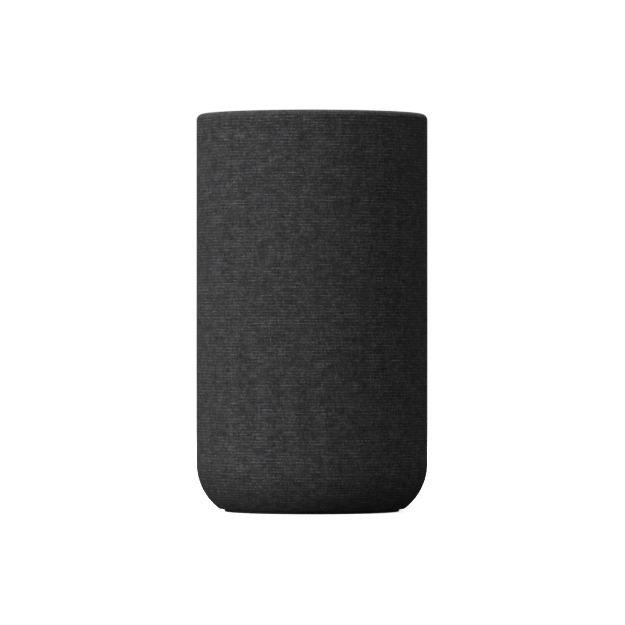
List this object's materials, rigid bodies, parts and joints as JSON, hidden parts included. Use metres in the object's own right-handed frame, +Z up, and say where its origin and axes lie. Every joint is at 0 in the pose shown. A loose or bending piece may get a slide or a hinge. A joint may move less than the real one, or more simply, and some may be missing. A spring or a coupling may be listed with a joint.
{
  "type": "smart speaker",
  "caption": "Cloth-covered cylindrical smart speaker with a rounded lower edge, a raised rim, top push buttons and a mains inlet at the back.",
  "frame": {"origin": "centre of the table contact face, at the bottom of the rubber foot ring", "axes": "+Z up along the body's axis; the woofer and the front face -Y; the rear port faces +Y; +X is the side of the volume-up button"},
  "size_m": [0.123, 0.123, 0.2115],
  "materials": {
    "cloth": "woven, matte",
    "frame_plastic": "matte",
    "base_plastic": "fine spark texture",
    "foot_rubber": "matte",
    "insert_brass": "knurled",
    "inner_plastic": "matte",
    "screw_steel": "zinc plated",
    "board_green": "solder mask over glass fibre",
    "core_iron": "ferrite with a taped winding",
    "can_aluminium": "sleeved",
    "sink_aluminium": "extruded",
    "component_plastic": "moulded",
    "inlet_plastic": "moulded",
    "pin_brass": "plated",
    "wire_copper": "insulated",
    "button_plastic": "soft touch",
    "gasket_foam": "closed-cell foam",
    "basket_steel": "powder coated",
    "motor_steel": "zinc plated",
    "ferrite": "sintered",
    "cone_paper": "pressed pulp",
    "coil_copper": "enamelled wire",
    "surround_rubber": "butyl",
    "spider_cloth": "resin-treated cotton",
    "dome_silk": "coated silk",
    "diaphragm_aluminium": "anodised",
    "shield_steel": "tinned",
    "switch_plastic": "moulded",
    "led_emitter": "clear cap",
    "ring_diffuser": "satin diffuser",
    "panel_plastic": "satin",
    "ribbon_plastic": "flat cable"
  },
  "bodies": {
    "housing": {"fabric_sleeve": "cloth", "grille_frame": "frame_plastic", "base_cap": "base_plastic", "rubber_foot": "foot_rubber", "stand_insert": "insert_brass", "base_tray": "inner_plastic", "case_screws": "screw_steel", "power_board": "board_green", "transformer": "core_iron", "bulk_capacitors": "can_aluminium", "heat_sink": "sink_aluminium", "power_board_parts": "component_plastic", "mains_inlet": "inlet_plastic", "inlet_pins": "pin_brass", "inlet_wires": "wire_copper", "port_plate": "base_plastic", "port_board": "board_green", "enclosure_body": "inner_plastic", "enclosure_gasket": "gasket_foam", "enclosure_lid": "inner_plastic", "cable_grommet": "foot_rubber", "woofer_gasket": "gasket_foam", "woofer_basket": "basket_steel", "woofer_top_plate": "motor_steel", "woofer_magnet": "ferrite", "woofer_yoke": "motor_steel", "woofer_surround": "surround_rubber", "woofer_spider": "spider_cloth", "driver_screws": "screw_steel", "tweeter_faceplate": "inner_plastic", "tweeter_motor": "motor_steel", "left_radiator_frame": "inner_plastic", "right_radiator_frame": "inner_plastic", "left_radiator_surround": "surround_rubber", "right_radiator_surround": "surround_rubber", "main_board": "board_green", "main_board_parts": "shield_steel", "top_chassis": "inner_plastic", "control_board": "board_green", "control_switches": "switch_plastic", "microphones": "pin_brass", "status_leds": "led_emitter", "light_ring": "ring_diffuser", "top_panel": "panel_plastic", "panel_screws": "screw_steel", "speaker_leads": "wire_copper", "board_ribbon": "ribbon_plastic"},
    "woofer_diaphragm": {"woofer_cone": "cone_paper", "woofer_dust_cap": "cone_paper", "woofer_voice_coil": "coil_copper"},
    "tweeter_diaphragm": {"tweeter_dome": "dome_silk"},
    "left_radiator": {"left_radiator_diaphragm": "diaphragm_aluminium"},
    "right_radiator": {"right_radiator_diaphragm": "diaphragm_aluminium"},
    "volume_up": {"volume_up_button": "button_plastic"},
    "volume_down": {"volume_down_button": "button_plastic"},
    "mic_mute": {"mic_mute_button": "button_plastic"},
    "action": {"action_button": "button_plastic"},
    "pairing": {"pairing_button": "button_plastic"}
  },
  "joints": [
    {"name": "woofer_stroke", "type": "slide", "parent": "housing", "child": "woofer_diaphragm", "axis": [0, -1, 0], "range_m": [-0.003, 0.003], "stiffness_N_per_m": 1000, "deforming": ["woofer_surround", "woofer_spider"]},
    {"name": "tweeter_stroke", "type": "slide", "parent": "housing", "child": "tweeter_diaphragm", "axis": [0, -1, 0], "range_m": [-0.0003, 0.0003], "stiffness_N_per_m": 1500},
    {"name": "left_radiator_stroke", "type": "slide", "parent": "housing", "child": "left_radiator", "axis": [-1, 0, 0], "range_m": [-0.004, 0.004], "stiffness_N_per_m": 800, "deforming": ["left_radiator_surround"]},
    {"name": "right_radiator_stroke", "type": "slide", "parent": "housing", "child": "right_radiator", "axis": [1, 0, 0], "range_m": [-0.004, 0.004], "stiffness_N_per_m": 800, "deforming": ["right_radiator_surround"]},
    {"name": "volume_up_press", "type": "slide", "parent": "housing", "child": "volume_up", "axis": [0, 0, -1], "range_m": [0, 0.0005], "stiffness_N_per_m": 2000},
    {"name": "volume_down_press", "type": "slide", "parent": "housing", "child": "volume_down", "axis": [0, 0, -1], "range_m": [0, 0.0005], "stiffness_N_per_m": 2000},
    {"name": "mic_mute_press", "type": "slide", "parent": "housing", "child": "mic_mute", "axis": [0, 0, -1], "range_m": [0, 0.0005], "stiffness_N_per_m": 2000},
    {"name": "action_press", "type": "slide", "parent": "housing", "child": "action", "axis": [0, 0, -1], "range_m": [0, 0.0005], "stiffness_N_per_m": 2000},
    {"name": "pairing_press", "type": "slide", "parent": "housing", "child": "pairing", "axis": [-0.2334, -0.9724, 0], "range_m": [0, 0.0005], "stiffness_N_per_m": 2000}
  ]
}
